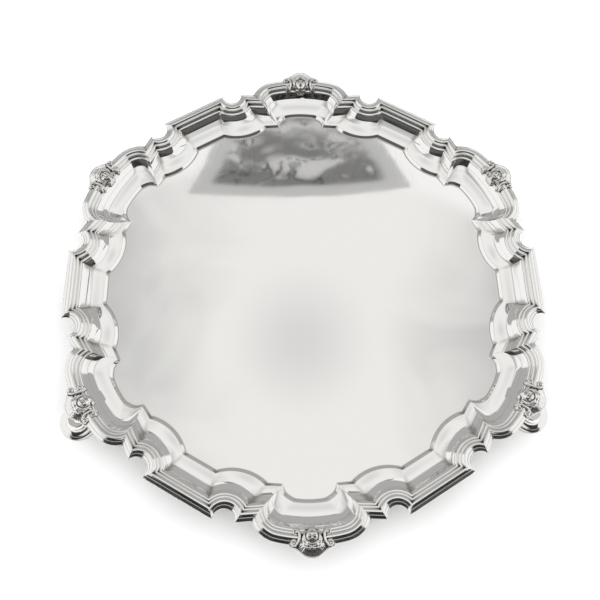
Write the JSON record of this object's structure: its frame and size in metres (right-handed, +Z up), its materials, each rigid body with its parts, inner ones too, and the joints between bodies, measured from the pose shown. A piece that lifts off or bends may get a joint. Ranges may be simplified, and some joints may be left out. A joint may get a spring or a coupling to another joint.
{
  "type": "silver salver",
  "caption": "Low footed serving tray with a dished flat plate, a scalloped moulded border, small cast masks on its lobes and splayed pad feet.",
  "frame": {"origin": "centre of the bounding box at its base, on the surface the feet stand on; the tray's own axis lies 5.3 mm from it towards -Y", "axes": "+Z up out of the plate; +Y from the tray's axis towards the mask that has the first foot under it; X along the line between two opposite straight sides"},
  "size_m": [0.2846, 0.3146, 0.0303],
  "materials": {
    "tray_silver": "polished sterling silver sheet with fine wear scratches",
    "border_silver": "polished cast sterling silver, darker in its grooves",
    "mask_silver": "chased cast sterling silver, dark in its recesses",
    "foot_silver": "polished cast sterling silver"
  },
  "bodies": {
    "root": {"tray": "tray_silver", "border_1": "border_silver", "mask_1": "mask_silver", "border_2": "border_silver", "mask_2": "mask_silver", "border_3": "border_silver", "mask_3": "mask_silver", "border_4": "border_silver", "mask_4": "mask_silver", "border_5": "border_silver", "mask_5": "mask_silver", "border_6": "border_silver", "mask_6": "mask_silver", "foot_1": "foot_silver", "foot_2": "foot_silver", "foot_3": "foot_silver"}
  },
  "joints": []
}
